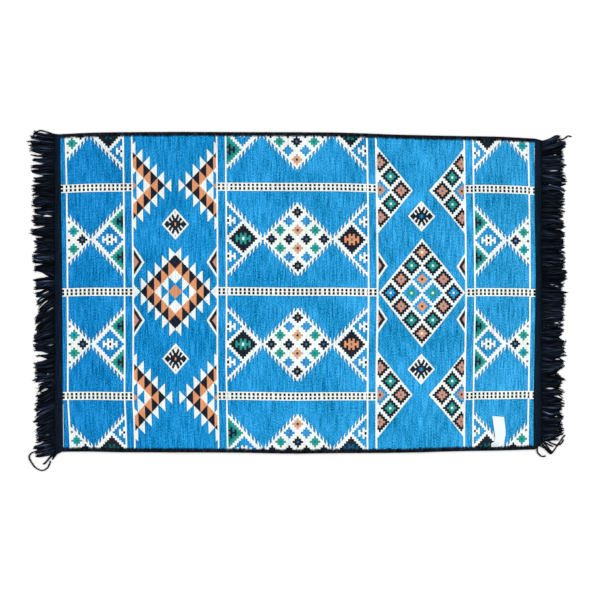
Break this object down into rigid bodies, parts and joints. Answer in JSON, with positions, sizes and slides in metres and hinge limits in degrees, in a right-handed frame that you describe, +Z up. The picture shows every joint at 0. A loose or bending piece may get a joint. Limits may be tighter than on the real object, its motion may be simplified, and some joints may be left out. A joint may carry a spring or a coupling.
{
  "type": "kilim rug",
  "caption": "Flat-woven kilim rug with geometric medallion bands, overcast long edges, yarn fringes on black heading tapes at both ends and a bare care label, lying flat.",
  "frame": {"origin": "on the floor, under the middle of the whole rug, fringes and loose yarn ends included", "axes": "+X along the length towards the right fringe as pictured, +Y across the rug towards its back edge, +Z up from the floor"},
  "size_m": [1.3578, 0.8468, 0.0072],
  "materials": {
    "flatweave": "weft-faced flatweave in azure blue with cream, navy, orange and green ornament, matt",
    "edge_yarn": "overcast black yarn, matt",
    "fringe_yarn": "twisted black yarn with a slight sheen",
    "label_cloth": "white woven ribbon, satin, bare"
  },
  "bodies": {
    "root": {"woven_panel": "flatweave", "serging_back": "edge_yarn", "serging_front": "edge_yarn", "fringe_left": "fringe_yarn", "fringe_right": "fringe_yarn", "care_label": "label_cloth"}
  },
  "joints": []
}
